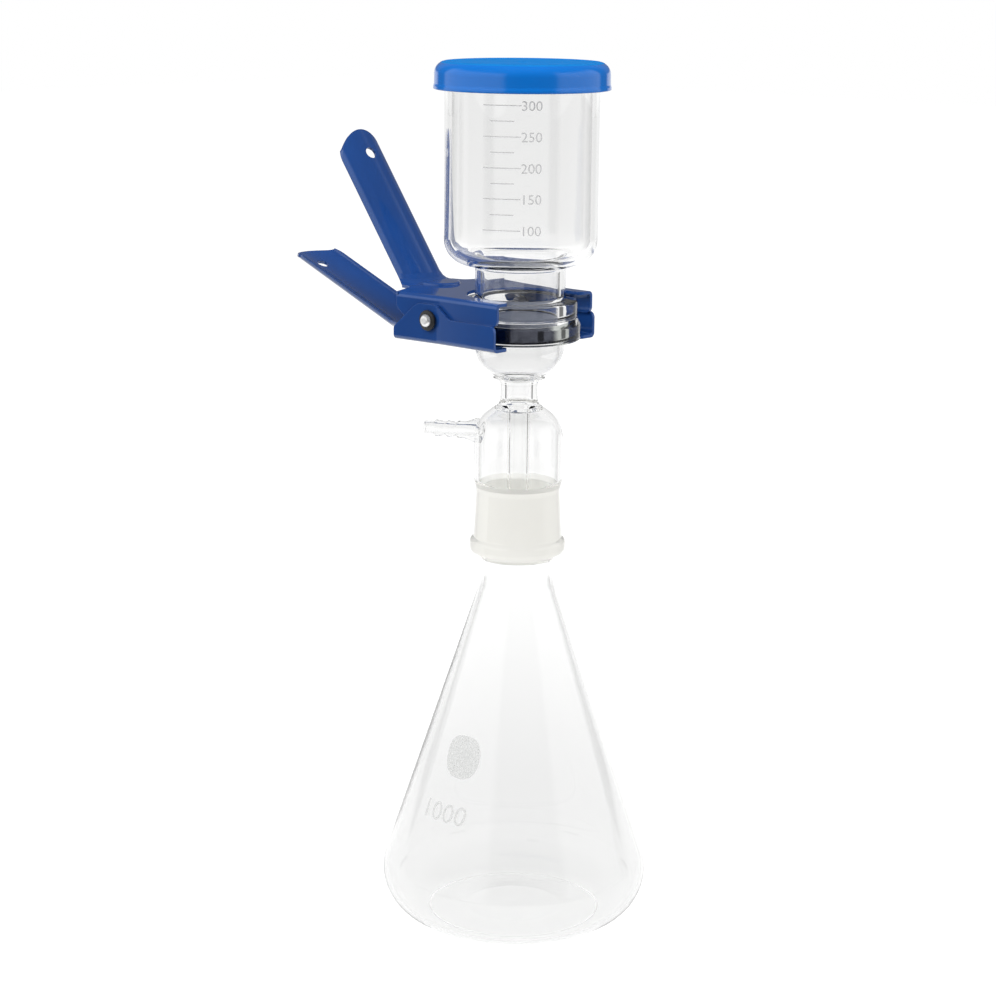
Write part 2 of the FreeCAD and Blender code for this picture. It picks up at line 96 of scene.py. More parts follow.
# ---- camera and lamps; azimuths run from -Y towards +X, lengths are in metres
studio = {
    "azimuth": 42.0, "distance": 1.1228, "height": 0.4694, "lens": 85.78, "sensor": 36.0,
    "pitchDown": 12.909, "turnLeft": 0.478, "roll": 0.63, "clip": (0.05, 20.0),
    "lamps": {                                      # azimuth, elevation, distance, watts
        "keyPanel": (342, 38, 1.7, 20),
        "sidePanel": (112, 30, 1.8, 18),
        "topPanel": (42, 80, 1.6, 9)},
    "lampSize": (1.0, 1.3), "lampAim": 0.22,
}


def makeCamera():
    data = bpy.data.cameras.new("camera")
    cam = placed("camera", data)
    scene.camera = cam
    data.lens, data.sensor_width = studio["lens"], studio["sensor"]
    data.clip_start, data.clip_end = studio["clip"]
    turn, away = radians(studio["azimuth"]), studio["distance"]
    cam.matrix_world = (
        Matrix.Translation((away * sin(turn), -away * cos(turn), studio["height"]))
        @ Matrix.Rotation(turn, 4, "Z")
        @ Matrix.Rotation(radians(90 - studio["pitchDown"]), 4, "X")
        @ Matrix.Rotation(radians(studio["turnLeft"]), 4, "Y")
        @ Matrix.Rotation(radians(studio["roll"]), 4, "Z"))


def makeLamps():
    for name, (azimuth, elevation, distance, watts) in studio["lamps"].items():
        light = bpy.data.lights.new(name, "AREA")
        light.shape, light.energy = "RECTANGLE", watts
        light.size, light.size_y = studio["lampSize"]
        lamp = placed(name, light)
        turn, tilt = radians(azimuth), radians(elevation)
        out = Vector((sin(turn) * cos(tilt), -cos(turn) * cos(tilt), sin(tilt)))
        lamp.location = Vector((0, 0, studio["lampAim"])) + out * distance
        lamp.rotation_mode = "QUATERNION"
        lamp.rotation_quaternion = (-out).to_track_quat("-Z", "Y")
        lamp.visible_camera = lamp.visible_glossy = lamp.visible_transmission = False


# ---- room: what glass and gloss see round the object, in degrees
room = {
    "fill": 0.47,                                   # plain bounced light
    "uprights": [(96.0, 0.10), (168.0, 0.10)],      # heading and level of each
    "uprightStep": 180.0, "uprightHalf": 8.5, "uprightSoft": 2, "uprightTop": (0.0, 8.0),
    "overhead": 0.7, "overheadFrom": (30.0, 48.0),
    # levels by angle, counted from the camera's side
    "panelStops": [(0, 0.07), (43, 0.10), (50, 1.0), (117, 1.0), (124, 0.12), (140, 0.12), (147, 1.0),
                   (213, 1.0), (220, 0.12), (236, 0.12), (243, 1.0), (333, 1.0), (340, 0.10), (360, 0.07)],
    "panelTop": (25.0, 45.0), "ceiling": 0.15,
    "backStops": [(0, 1.0), (138, 1.0), (145, 0.2), (215, 0.2), (222, 1.0), (360, 1.0)],
    "backTop": (0.5, 5.0),
}


def headingOf(tree, split):
    # 0 lies along +Y and 90 along -X
    back = calc(tree, "MULTIPLY", split.outputs[0], -1.0)
    return calc(tree, "DEGREES", calc(tree, "ARCTAN2", back, split.outputs[1]))


def uprightsAt(tree, heading):
    # two dark uprights on each side, seen only at the glass's steep edges
    step, half, soft, darkest = room["uprightStep"], room["uprightHalf"], room["uprightSoft"], 1.0
    for first, level in room["uprights"]:
        beside = calc(tree, "ADD", heading, 360.0 + step / 2 - first)
        beside = calc(tree, "ABSOLUTE", calc(tree, "SUBTRACT", calc(tree, "MODULO", beside, step), step / 2))
        darkest = calc(tree, "MINIMUM", darkest, ranged(tree, beside, half - soft, half + soft, level, 1.0))
    return darkest


def levelsRound(tree, heading, levels):
    # a ring of levels that starts at the camera's side; headings are half a turn from azimuths
    aside = calc(tree, "MODULO", calc(tree, "ADD", heading, 540.0 - studio["azimuth"]), 360.0)
    ramp = add(tree, "ValToRGB", {0: calc(tree, "DIVIDE", aside, 360.0)})
    stops = ramp.color_ramp.elements
    stops.remove(stops[1])
    stops[0].color = (*[levels[0][1]] * 3, 1)
    for place, level in levels[1:]:
        stops.new(place / 360).color = (level, level, level, 1)
    return ramp.outputs[0]


def makeRoom():
    world = bpy.data.worlds.new("room")
    scene.world = world
    world.use_nodes = True
    tree = world.node_tree
    tree.nodes.clear()
    way = add(tree, "SeparateXYZ", {0: add(tree, "TexCoord").outputs["Generated"]})
    heading = headingOf(tree, way)
    height = calc(tree, "DEGREES", calc(tree, "ARCSINE", way.outputs[2]))

    # glass shows white with dark uprights between, and a dim ceiling
    above = ranged(tree, height, *room["uprightTop"], 0.0, 1.0)
    uprights = blendNumbers(tree, above, uprightsAt(tree, heading), 1.0)
    above = ranged(tree, height, *room["overheadFrom"], 0.0, 1.0)
    through = blendNumbers(tree, above, uprights, room["overhead"])

    # gloss shows two tall panels beside the camera, a dim front and a low white back
    above = ranged(tree, height, *room["backTop"], 0.0, 1.0)
    back = blendNumbers(tree, above, 1.0, levelsRound(tree, heading, room["backStops"]))
    panels = calc(tree, "MULTIPLY", levelsRound(tree, heading, room["panelStops"]), back)
    above = ranged(tree, height, *room["panelTop"], 0.0, 1.0)
    gloss = blendNumbers(tree, above, panels, room["ceiling"])

    path = add(tree, "LightPath").outputs
    level = blendNumbers(tree, path["Is Glossy Ray"], room["fill"], gloss)
    level = blendNumbers(tree, path["Is Transmission Ray"], level, through)
    level = blendNumbers(tree, path["Is Camera Ray"], level, 1.0)
    light = add(tree, "Background", {"Color": (1, 1, 1, 1), "Strength": level})
    add(tree, "OutputWorld", {0: light.outputs[0]})


# ---- floor; spans are distances from the object's axis
floorLook = {
    "half": 6.0, "drop": -0.05, "paint": 0.42, "glow": 0.84, "through": 0.685,
    # near is the painted shadow's level close to the object; the uprights here are painted dark uprights
    "near": 0.76, "paintedShadowSpan": (0.12, 0.75), "uprights": 0.9, "paintedUprightSpan": (0.6, 1.0),
    # painted reflection levels round the floor, as seen in gloss
    "paintedReflectionStops": [(0, 0.12), (70, 0.12), (80, 0.5), (140, 0.5), (150, 1.0), (212, 1.0), (222, 0.5),
                    (240, 0.9), (273.8, 0.9), (274.4, 0.1), (360, 0.12)],
    "paintedReflectionSpan": (0.3, 0.9),
}


def makeFloor():
    half = floorLook["half"]
    mesh = bpy.data.meshes.new("floor")
    mesh.from_pydata([(-half, -half, 0), (half, -half, 0), (half, half, 0), (-half, half, 0)],
                     [], [(0, 1, 2, 3)])
    floor = placed("floor", mesh)
    floor.location.z = floorLook["drop"] * mm
    mat, tree = newFinish("floorPaper")
    spot = add(tree, "NewGeometry").outputs["Position"]
    away = add(tree, "VectorMath", {0: spot}, operation="LENGTH").outputs["Value"]
    heading = headingOf(tree, add(tree, "SeparateXYZ", {0: spot}))

    # painted shade: seen through glass it dims close to the object as a painted shadow and carries painted
    # dark uprights further out
    beyond = ranged(tree, away, *floorLook["paintedUprightSpan"], 0.0, floorLook["uprights"])
    uprights = blendNumbers(tree, beyond, 1.0, uprightsAt(tree, heading))
    near = ranged(tree, away, *floorLook["paintedShadowSpan"], floorLook["near"], 1.0)
    paintedShadeThroughGlass = calc(tree, "MULTIPLY", uprights, near)

    # painted reflection: gloss sees a ring of levels further out
    beyond = ranged(tree, away, *floorLook["paintedReflectionSpan"], 0.0, 1.0)
    paintedReflectionInGloss = blendNumbers(tree, beyond, 1.0, levelsRound(tree, heading, floorLook["paintedReflectionStops"]))

    path = add(tree, "LightPath").outputs
    dim = blendNumbers(tree, path["Is Glossy Ray"], 1.0, paintedReflectionInGloss)
    dim = blendNumbers(tree, path["Is Transmission Ray"], dim, paintedShadeThroughGlass)
    paint = calc(tree, "MULTIPLY", dim, floorLook["paint"])
    colour = add(tree, "CombineColor", {0: paint, 1: paint, 2: paint}).outputs[0]
    paper = add(tree, "BsdfDiffuse", {"Color": colour})
    mirrored = calc(tree, "MAXIMUM", path["Is Transmission Ray"], path["Is Glossy Ray"])
    seen = calc(tree, "MULTIPLY", calc(tree, "MULTIPLY", mirrored, dim), floorLook["through"])
    seen = blendNumbers(tree, path["Is Camera Ray"], seen, floorLook["glow"])
    glow = add(tree, "Emission", {"Strength": seen})
    surfaceOut(tree, add(tree, "AddShader", {0: paper.outputs[0], 1: glow.outputs[0]}).outputs[0])
    mesh.materials.append(mat)


scene.view_settings.view_transform = "Standard"
# nested glass needs long paths
scene.cycles.max_bounces = 32
scene.cycles.transmission_bounces = 30
scene.cycles.glossy_bounces = 24
scene.cycles.transparent_max_bounces = 32
scene.cycles.caustics_reflective = False
scene.cycles.caustics_refractive = False
makeCamera()
makeRoom()
makeFloor()
makeLamps()
print("camera, room and lamps made")


# ---- shapes: outlines are in millimetres, as (radius, height) or (radius, height, rounding)
outlining = {
    "plainRounding": 0.12, "arcStep": 10.0, "longArcStep": 2.5, "longArc": 8.0,
    "supportBeyond": 1.2, "supportInset": 0.22,
    "onAxis": 1e-6, "together": 1e-4,
    "straight": 88.5,                                   # half a corner's angle, past which it stays sharp
}


def cornerPoints(corners):
    spots = [Vector(c[:2]) for c in corners]
    runs = []
    for i, here in enumerate(spots):
        rounding = corners[i][2] if len(corners[i]) > 2 else outlining["plainRounding"]
        back = (spots[i - 1] - here).normalized()
        ahead = (spots[(i + 1) % len(spots)] - here).normalized()
        half = back.angle(ahead) / 2
        if abs(here.x) < outlining["onAxis"] or rounding == 0 or half > radians(outlining["straight"]):
            runs.append([here])
            continue
        centre = here + (back + ahead).normalized() * (rounding / sin(half))
        first = here + back * (rounding / tan(half)) - centre
        sweep = pi - 2 * half
        if first.x * (here - centre).y - first.y * (here - centre).x < 0:
            sweep = -sweep
        stepAngle = outlining["longArcStep" if rounding > outlining["longArc"] else "arcStep"]
        steps = max(2, ceil(degrees(abs(sweep)) / stepAngle))
        runs.append([centre + Matrix.Rotation(sweep * k / steps, 2) @ first for k in range(steps + 1)])
    points = []
    for i, run in enumerate(runs):
        points += run
        gap = runs[(i + 1) % len(runs)][0] - run[-1]
        if gap.length > outlining["supportBeyond"]:     # keeps a straight run's shading straight
            inset = gap.normalized() * outlining["supportInset"]
            points += [run[-1] + inset, run[-1] + gap - inset]
    return [p for i, p in enumerate(points) if (p - points[i - 1]).length > outlining["together"]]


def turnedMesh(name, corners, segments=144, zoneOf=None):
    points = cornerPoints(corners)
    angles = [2 * pi * k / segments for k in range(segments)]
    bm = bmesh.new()
    rings = []
    for p in points:
        if p.x < outlining["onAxis"]:
            rings.append([bm.verts.new((0, 0, p.y * mm))])
        else:
            rings.append([bm.verts.new((p.x * cos(a) * mm, p.x * sin(a) * mm, p.y * mm)) for a in angles])
    for i, ring in enumerate(rings):
        after = rings[(i + 1) % len(rings)]
        if len(ring) == 1 and len(after) == 1:
            continue
        middle = (points[i] + points[(i + 1) % len(points)]) / 2
        for k in range(segments):
            j = (k + 1) % segments
            if len(ring) == 1:
                face = bm.faces.new((ring[0], after[j], after[k]))
            elif len(after) == 1:
                face = bm.faces.new((ring[k], ring[j], after[0]))
            else:
                face = bm.faces.new((ring[k], ring[j], after[j], after[k]))
            face.smooth = True
            face.material_index = zoneOf(middle.x, middle.y) if zoneOf else 0
    return finishedMesh(bm, name)


def finishedMesh(bm, name):
    bmesh.ops.recalc_face_normals(bm, faces=bm.faces)
    mesh = bpy.data.meshes.new(name)
    bm.to_mesh(mesh)
    bm.free()
    return mesh


def addPiece(mesh, finishes, body, nodes=()):
    piece = placed(mesh.name, mesh)
    for finish in finishes:
        piece.data.materials.append(finish)
    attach(piece, body)
    if nodes:
        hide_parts(*nodes)


def evaluated(helper, name, tools=()):
    # the mesh a helper object comes out as, once its curve or modifiers are worked out
    bpy.context.view_layer.update()
    mesh = bpy.data.meshes.new_from_object(helper.evaluated_get(bpy.context.evaluated_depsgraph_get()))
    for item in (helper, *tools):
        bpy.data.objects.remove(item)
    mesh.name = name
    return mesh


def combined(mesh, others):
    # booleans in turn; others is a list of (operation, mesh)
    helper = placed("boolBase", mesh)
    tools = []
    for operation, other in others:
        tools.append(placed("boolTool", other))
        step = helper.modifiers.new("bool", "BOOLEAN")
        step.operation, step.solver, step.object = operation, "EXACT", tools[-1]
    return evaluated(helper, mesh.name + ".made", tools)


# ---- glass
glassLook = {
    "tint": (0.985, 0.986, 0.984, 1), "ior": 1.473, "shadeTint": (0.98, 0.982, 0.98, 1),
    "waveScale": 26.0, "waveDepth": 0.00003,            # drawn glass is never quite true
    "smearScale": 70.0, "smearSpan": (0.5, 0.75), "smearRough": 0.035,      # faint handling marks
}


def glassFinish(name):
    mat, tree = newFinish(name)
    place = add(tree, "TexCoord").outputs["Object"]
    wave = noiseAt(tree, place, glassLook["waveScale"], 1.0)
    bump = add(tree, "Bump", {"Height": wave, "Distance": glassLook["waveDepth"]})
    smear = noiseAt(tree, place, glassLook["smearScale"], 5.0)
    rough = ranged(tree, smear, *glassLook["smearSpan"], 0.0, glassLook["smearRough"])
    glass = add(tree, "BsdfPrincipled", {
        "Base Color": glassLook["tint"], "Roughness": rough, "IOR": glassLook["ior"],
        "Transmission Weight": 1.0, "Normal": bump.outputs[0]})
    surfaceOut(tree, letLightThrough(tree, glass.outputs[0], glassLook["shadeTint"]))
    return mat


def letLightThrough(tree, shader, tint):
    # lamps and bounced light pass straight through, so the shadows stay pale
    path = add(tree, "LightPath").outputs
    passing = calc(tree, "MAXIMUM", path["Is Shadow Ray"], path["Is Diffuse Ray"])
    clear = add(tree, "BsdfTransparent", {"Color": tint})
    return add(tree, "MixShader", {0: passing, 1: shader, 2: clear.outputs[0]}).outputs[0]


# the ground cone, its socket and the step above the socket
groundLook = {
    "colour": (0.95, 0.94, 0.90, 1), "transmission": 0.3, "ior": 1.2, "shadeTint": (0.96, 0.96, 0.95, 1),
    "cloudScale": 60.0, "cloudSpan": (0.35, 0.65), "rough": (0.38, 0.5),
    "grainScale": 900.0, "grainDepth": 0.00003,
}


def groundFinish(name):
    mat, tree = newFinish(name)
    place = add(tree, "TexCoord").outputs["Object"]
    grain = noiseAt(tree, place, groundLook["grainScale"], 3.0)
    bump = add(tree, "Bump", {"Height": grain, "Distance": groundLook["grainDepth"]})
    cloud = noiseAt(tree, place, groundLook["cloudScale"], 3.0)
    rough = ranged(tree, cloud, *groundLook["cloudSpan"], *groundLook["rough"])
    ground = add(tree, "BsdfPrincipled", {
        "Base Color": groundLook["colour"], "Roughness": rough, "IOR": groundLook["ior"],
        "Transmission Weight": groundLook["transmission"], "Normal": bump.outputs[0]})
    surfaceOut(tree, letLightThrough(tree, ground.outputs[0], groundLook["shadeTint"]))
    return mat


# painted shade: where the disc is fused in, a dark metallic band on the wall makes the flange read dark; its
# sides turn lighter as a painted glint
shadeBandLook = {
    "colour": (0.075, 0.08, 0.1, 1), "fleck": (0.03, 0.032, 0.045, 1), "aside": (0.5, 0.52, 0.5, 1),
    "cloudScale": 240.0, "fleckSpan": (0.35, 0.7), "fleckShare": 0.7, "turn": (0.16, 0.26),
    "roughSpan": (0.3, 0.7), "rough": (0.05, 0.16), "grainDepth": 0.00001,
}


def fusedFinish(name):
    mat, tree = newFinish(name)
    place = add(tree, "TexCoord").outputs["Object"]
    cloud = noiseAt(tree, place, shadeBandLook["cloudScale"], 4.0)
    flecked = ranged(tree, cloud, *shadeBandLook["fleckSpan"], 0.0, shadeBandLook["fleckShare"])
    colour = blendColours(tree, flecked, shadeBandLook["colour"], shadeBandLook["fleck"])
    # painted glint: where the band turns away from view it takes the lighter aside colour
    facing = add(tree, "LayerWeight", {"Blend": 0.5}).outputs["Facing"]
    turned = ranged(tree, facing, *shadeBandLook["turn"], 0.0, 1.0)
    colour = blendColours(tree, turned, colour, shadeBandLook["aside"])
    bump = add(tree, "Bump", {"Height": cloud, "Distance": shadeBandLook["grainDepth"]})
    skin = add(tree, "BsdfPrincipled", {
        "Base Color": colour, "Metallic": 1.0, "Normal": bump.outputs[0],
        "Roughness": ranged(tree, cloud, *shadeBandLook["roughSpan"], *shadeBandLook["rough"])})
    surfaceOut(tree, skin.outputs[0])
    return mat


# the flask's ground cone; the head's socket sits on it with a thin film between
joint = {
    "bottomZ": 184.5, "bottomRadius": 19.2, "topZ": 218.6, "topRadius": 17.5, "film": 0.05,
    "groundInset": 0.5, "coneSkin": 0.3, "socketSkin": 0.4,
}


def jointRadius(z):
    share = (z - joint["bottomZ"]) / (joint["topZ"] - joint["bottomZ"])
    return joint["bottomRadius"] + share * (joint["topRadius"] - joint["bottomRadius"])


flask = {
    "radius": 65.5, "heel": 23.5, "slope": 0.3316, "wall": 2.0, "floor": 2.2, "wallTrim": 0.1,
    "punt": 0.9, "puntRadius": 43.0, "puntCrown": 0.55, "neck": 17.8, "neckInside": 15.6,
}
flaskLean = atan(flask["slope"])
# where the sloping side would meet the ground if the heel were sharp
flaskCorner = flask["radius"] - flask["heel"] + flask["heel"] / tan((pi / 2 - flaskLean) / 2)


def flaskZone(r, z):
    onCone = joint["bottomZ"] < z < joint["topZ"] - joint["groundInset"]
    return int(onCone and r > jointRadius(z) - joint["coneSkin"])


def makeFlask():
    corner, slope = flaskCorner, flask["slope"]
    inner = corner - flask["wall"] / cos(flaskLean)
    floor, punt = flask["floor"], flask["punt"]
    mesh = turnedMesh("flask_glass_body", [
        (0, punt),
        (flask["puntRadius"] * flask["puntCrown"], punt, 30),
        (flask["puntRadius"], 0.0, 8),
        (corner, 0, flask["heel"]),
        (flask["neck"], (corner - flask["neck"]) / slope, 30),
        (flask["neck"], joint["bottomZ"] - 1.5, 1),
        (joint["bottomRadius"], joint["bottomZ"], 0.5),
        (joint["topRadius"], joint["topZ"], 0.8),
        (flask["neckInside"], joint["topZ"], 0.8),
        (flask["neckInside"], (inner - flask["neckInside"]) / slope, 28),
        (inner - slope * floor, floor, flask["heel"] - flask["wall"] - flask["wallTrim"]),
        (flask["puntRadius"] - 2, floor, 10),
        (0, floor + punt)], segments=192, zoneOf=flaskZone)
    addPiece(mesh, [clearGlass, groundGlass], "glassware",
             ["flask_base", "flask_cone", "flask_neck"])


head = {
    "barbHeight": 244.2, "barbHeading": 206.0, "barbTip": 47.7, "ridges": (35.6, 41.6),
    "barbBore": 2.3, "boreSpan": (12, 49), "sharpAngle": 40,
    "groundSpan": (185.7, 218.2), "stepTop": 220.4, "stepRadius": 20.0,
    "shadeBandSpan": (290.9, 296.9), "shadeBandRadii": (19.2, 19.6),
}


def headCorners():
    return [
        (jointRadius(185.5) + joint["film"], 185.5, 0.8), (23.3, 185.5, 2.8), (23.3, 192.2, 2.6),
        (21.4, 193.6, 1), (20.2, 216.2, 5), (21.35, 221.4, 5), (21.35, 250.3, 15), (9.1, 259.3, 4),
        (9.1, 271.7, 3.4), (21.3, 271.7, 15.5), (21.3, 290.5, 1.5), (29.1, 290.5, 1.2), (29.1, 298.1, 0.6),
        (27.3, 301.2, 0.3), (20.0, 301.2), (20.0, 297.0), (19.4, 297.0), (19.4, head["shadeBandSpan"][1]),
        (19.4, head["shadeBandSpan"][0]), (19.4, 273.8, 12.0), (5.8, 272.7, 3.5), (5.8, 261.5, 2),
        (4.1, 256.5, 2), (4.1, 196.0, 0.3), (5.1, 196.0, 0.4), (5.6, 255.5, 1.2), (10.5, 255.5, 2),
        (19.35, 249.3, 12), (19.35, 221.6, 2.5),
        (jointRadius(217.2) + joint["film"], 218.4, 0.6)]


def barbCorners():
    corners = [(0, 15.0), (6.4, 15.0, 0.3), (6.0, 21.75, 1.5), (4.25, 26.2, 4), (4.25, 30.4, 0.7)]
    for reach in head["ridges"]:
        corners += [(3.45, corners[-1][1] + 1.0, 1.0), (4.15, reach, 0.8)]
    return corners + [(3.45, corners[-1][1] + 1.0, 1.0), (3.2, head["barbTip"], 0.7), (0, head["barbTip"])]


def headZone(r, z):
    # which finish a face takes: 0 clear, 1 ground, 2 the painted shade band where the disc is fused in
    low, high = head["groundSpan"]
    socket = low < z < high and r < jointRadius(z) + joint["socketSkin"]
    step = high < z < head["stepTop"] and r < head["stepRadius"]
    if socket or step:
        return 1
    inner, outer = head["shadeBandRadii"]
    low, high = head["shadeBandSpan"]
    return 2 if inner < r < outer and low < z < high else 0


def makeHead():
    body = turnedMesh("filter_head_glass", headCorners(), segments=144, zoneOf=headZone)
    barb = turnedMesh("barb", barbCorners(), segments=64)
    near, far = head["boreSpan"]
    bore = turnedMesh("barbBore", [
        (0, near), (head["barbBore"], near), (head["barbBore"], far), (0, far)], segments=48)
    inside = turnedMesh("bellInside", [
        (0, 215), (20.6, 215), (20.6, 249.9, 13.6), (8.3, 258.7, 4), (8.3, 262), (0, 262)], segments=144)
    place = (Matrix.Translation((0, 0, head["barbHeight"] * mm))
             @ Matrix.Rotation(radians(head["barbHeading"]), 4, "Z") @ Matrix.Rotation(radians(90), 4, "Y"))
    for mesh in (barb, bore):
        mesh.transform(place)
    for mesh in (body, barb, bore, inside):             # all four need the same slots for the booleans
        for finish in (clearGlass, groundGlass, paintedShadeBand):
            mesh.materials.append(finish)
    trimmed = combined(barb, [("DIFFERENCE", inside)])
    mesh = combined(body, [("UNION", trimmed), ("DIFFERENCE", bore)])
    mesh.name = "filter_head_glass"
    mesh.set_sharp_from_angle(angle=radians(head["sharpAngle"]))
    addPiece(mesh, [], "glassware", ["filter_bell", "drip_tube", "filter_cup", "side_arm"])


def makeFunnel():
    mesh = turnedMesh("funnel_glass_body", [
        (18.3, 301.2, 0.3), (27.5, 301.2, 0.8), (27.5, 309.6, 1.2), (21.6, 309.6, 2), (21.6, 326.0, 2.5),
        (36.4, 326.0, 12), (36.4, 413.3, 1.2), (39.3, 414.5, 1.2), (39.3, 419.3, 1.8), (33.4, 419.3, 1.5),
        (33.4, 331.5, 9), (18.3, 328.0, 4)], segments=192)
    addPiece(mesh, [clearGlass], "glassware", ["funnel"])


clearGlass = glassFinish("clearBorosilicate")
groundGlass = groundFinish("groundJointGlass")
paintedShadeBand = fusedFinish("paintedShadeBandAtDisc")
makeFlask()
makeHead()
makeFunnel()
print("glass made")


# ---- sintered disc; its dark blue-grey colour and darker pores are painted shade
sinter = {
    "colour": (0.17, 0.185, 0.23, 1), "dark": (0.07, 0.08, 0.11, 1), "specular": 0.15,
    "poreScale": 1500.0, "poreSpan": (0.15, 0.6), "poreDepth": 0.00012,
    "cloudScale": 140.0, "stainSpan": (0.35, 0.75), "stain": 0.35,
    "roughSpan": (0.3, 0.7), "rough": (0.75, 0.95),
    "radius": 19.95, "bottomZ": 297.0, "topZ": 301.2,
}


def sinterFinish():
    mat, tree = newFinish("sinteredGlassPaintedShade")
    place = add(tree, "TexCoord").outputs["Object"]
    pores = add(tree, "TexVoronoi", {"Vector": place, "Scale": sinter["poreScale"]}).outputs["Distance"]
    cloud = noiseAt(tree, place, sinter["cloudScale"], 4.0)
    # painted shade in the pores: they darken towards the dark colour
    poreShade = ranged(tree, pores, *sinter["poreSpan"], 1.0, 0.0)
    grain = blendColours(tree, poreShade, sinter["colour"], sinter["dark"])
    stained = ranged(tree, cloud, *sinter["stainSpan"], 0.0, sinter["stain"])
    bump = add(tree, "Bump", {"Height": pores, "Distance": sinter["poreDepth"]})
    glass = add(tree, "BsdfPrincipled", {
        "Base Color": blendColours(tree, stained, grain, sinter["dark"]),
        "Roughness": ranged(tree, cloud, *sinter["roughSpan"], *sinter["rough"]),
        "Specular IOR Level": sinter["specular"], "Normal": bump.outputs[0]})
    surfaceOut(tree, glass.outputs[0])
    return mat


def makeDisc():
    radius, low, high = sinter["radius"], sinter["bottomZ"], sinter["topZ"]
    mesh = turnedMesh("sintered_disc_plate", [
        (0, low), (radius, low, 0.3), (radius, high, 0.3), (0, high)], segments=96)
    addPiece(mesh, [sinterFinish()], "glassware", ["sintered_disc"])


makeDisc()


# ---- cap: shiny sides under a matt, embossed top
capLook = {
    "colour": (0.002, 0.142, 0.53, 1), "rough": (0.07, 0.15), "specular": 0.55,
    "top": (0.004, 0.168, 0.5, 1), "topRough": (0.5, 0.65), "topSpecular": 0.04,
    "worn": (0.03, 0.22, 0.66, 1), "edge": 0.0004, "wearSpan": (0.93, 0.995), "wear": 0.6,
    "cloudScale": 40.0, "patchSpan": (0.4, 0.65), "patch": 0.2, "roughSpan": (0.35, 0.7),
    "grainScale": 500.0, "grainDepth": 0.0000012, "topFrom": 420.3, "topRadius": 38.5,
}


def edgeTurn(tree, radius):
    # how far a rounded-off normal leans from the true one, which marks the edges
    rounded = add(tree, "Bevel", {"Radius": radius}, samples=4).outputs[0]
    flat = add(tree, "NewGeometry").outputs["Normal"]
    return rounded, add(tree, "VectorMath", {0: rounded, 1: flat}, operation="DOT_PRODUCT").outputs["Value"]


def capFinish(name, plain, roughness, specular):
    mat, tree = newFinish(name)
    place = add(tree, "TexCoord").outputs["Object"]
    cloud = noiseAt(tree, place, capLook["cloudScale"], 4.0)
    grain = noiseAt(tree, place, capLook["grainScale"], 2.0)
    rounded, turned = edgeTurn(tree, capLook["edge"])
    edges = ranged(tree, turned, *capLook["wearSpan"], capLook["wear"], 0.0)
    patches = ranged(tree, cloud, *capLook["patchSpan"], capLook["patch"], 1.0)
    rubbed = calc(tree, "MULTIPLY", edges, patches)
    bump = add(tree, "Bump", {
        "Height": grain, "Distance": capLook["grainDepth"], "Normal": rounded})
    plastic = add(tree, "BsdfPrincipled", {
        "Base Color": blendColours(tree, rubbed, plain, capLook["worn"]),
        "Roughness": ranged(tree, cloud, *capLook["roughSpan"], *roughness),
        "Specular IOR Level": specular, "Normal": bump.outputs[0]})
    surfaceOut(tree, plastic.outputs[0])
    return mat


def capZone(r, z):
    return int(z > capLook["topFrom"] and r < capLook["topRadius"])


def makeCap():
    mesh = turnedMesh("cap_shell", [
        (0, 419.5), (39.9, 419.5, 2.2), (40.1, 408.6, 0.3), (40.4, 408.0, 0.3), (41.75, 408.0, 0.5),
        (41.72, 409.4, 0.8), (41.35, 410.6, 1.2), (41.2, 421.0, 5.7), (34.0, 420.95, 1.5), (33.2, 420.5, 1.0),
        (2.2, 420.45, 0.6), (1.6, 420.7, 0.4), (0, 420.7)], segments=192, zoneOf=capZone)
    side = capFinish("blueCapPlastic", capLook["colour"], capLook["rough"], capLook["specular"])
    top = capFinish("blueCapTop", capLook["top"], capLook["topRough"], capLook["topSpecular"])
    addPiece(mesh, [side, top], "cap", ["cap"])


makeCap()
print("disc and cap made")


# ---- clamp levers keep their CAD sheet, with a gloss coating
paintLook = {
    "colour": (0.012, 0.058, 0.235, 1), "shade": (0.010, 0.046, 0.19, 1), "worn": (0.05, 0.10, 0.30, 1),
    "cloudScale": 35.0, "shadeSpan": (0.3, 0.75), "shadeShare": 0.5,
    "roughSpan": (0.35, 0.7), "rough": (0.07, 0.12),
    "edge": 0.00045, "wearSpan": (0.88, 0.99), "wear": 0.7,
    "chipScale": 650.0, "chipSpan": (0.45, 0.62), "chip": 0.1, "peelScale": 140.0, "peelDepth": 0.0000016,
    "specular": 0.9, "sheen": (0.6, 0.75, 1.0, 1), "coat": 0.25, "coatRough": 0.05,
}


